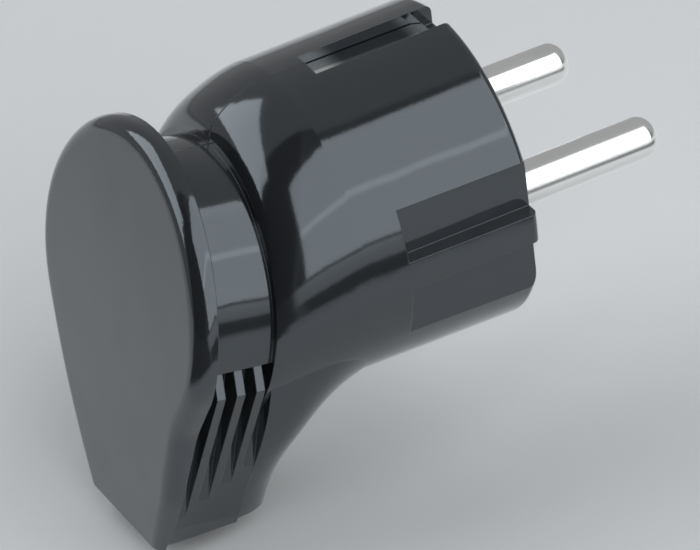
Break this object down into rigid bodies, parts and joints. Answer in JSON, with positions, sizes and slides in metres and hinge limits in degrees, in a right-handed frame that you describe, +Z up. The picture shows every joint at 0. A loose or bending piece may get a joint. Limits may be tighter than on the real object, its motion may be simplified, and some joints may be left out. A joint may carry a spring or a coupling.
{
  "type": "angled mains plug",
  "caption": "Angled rewirable mains plug with round contact pins, side earth strips, an earth pin socket, a leaning grip plate and a downward cord outlet.",
  "frame": {"origin": "middle of the flat contact face, midway between the two pins", "axes": "+X across the pins, +Y along the pins towards the socket, +Z up, away from the cord outlet"},
  "size_m": [0.0375, 0.0637, 0.0497],
  "materials": {
    "black_plastic": "satin gloss moulded black",
    "carrier_plastic": "matt moulded",
    "clamp_plastic": "matt moulded",
    "nickel": "bright nickel plate",
    "spring_nickel": "nickel-plated strip",
    "zinc_steel": "zinc-plated",
    "grommet_rubber": "soft matt"
  },
  "bodies": {
    "root": {"housing_near": "black_plastic", "housing_far": "black_plastic", "contact_carrier": "carrier_plastic", "pin_near": "nickel", "pin_far": "nickel", "terminal_screw_near": "zinc_steel", "terminal_screw_far": "zinc_steel", "earth_bow": "spring_nickel", "earth_sleeve": "nickel", "earth_sleeve_rivet": "nickel", "earth_clamp_washer": "zinc_steel", "earth_screw": "zinc_steel", "cord_clamp": "clamp_plastic", "cord_clamp_screw_front": "zinc_steel", "cord_clamp_screw_rear": "zinc_steel", "cable_grommet": "grommet_rubber", "housing_screw_upper": "zinc_steel", "housing_screw_lower": "zinc_steel", "housing_nut_upper": "zinc_steel", "housing_nut_lower": "zinc_steel"}
  },
  "joints": []
}
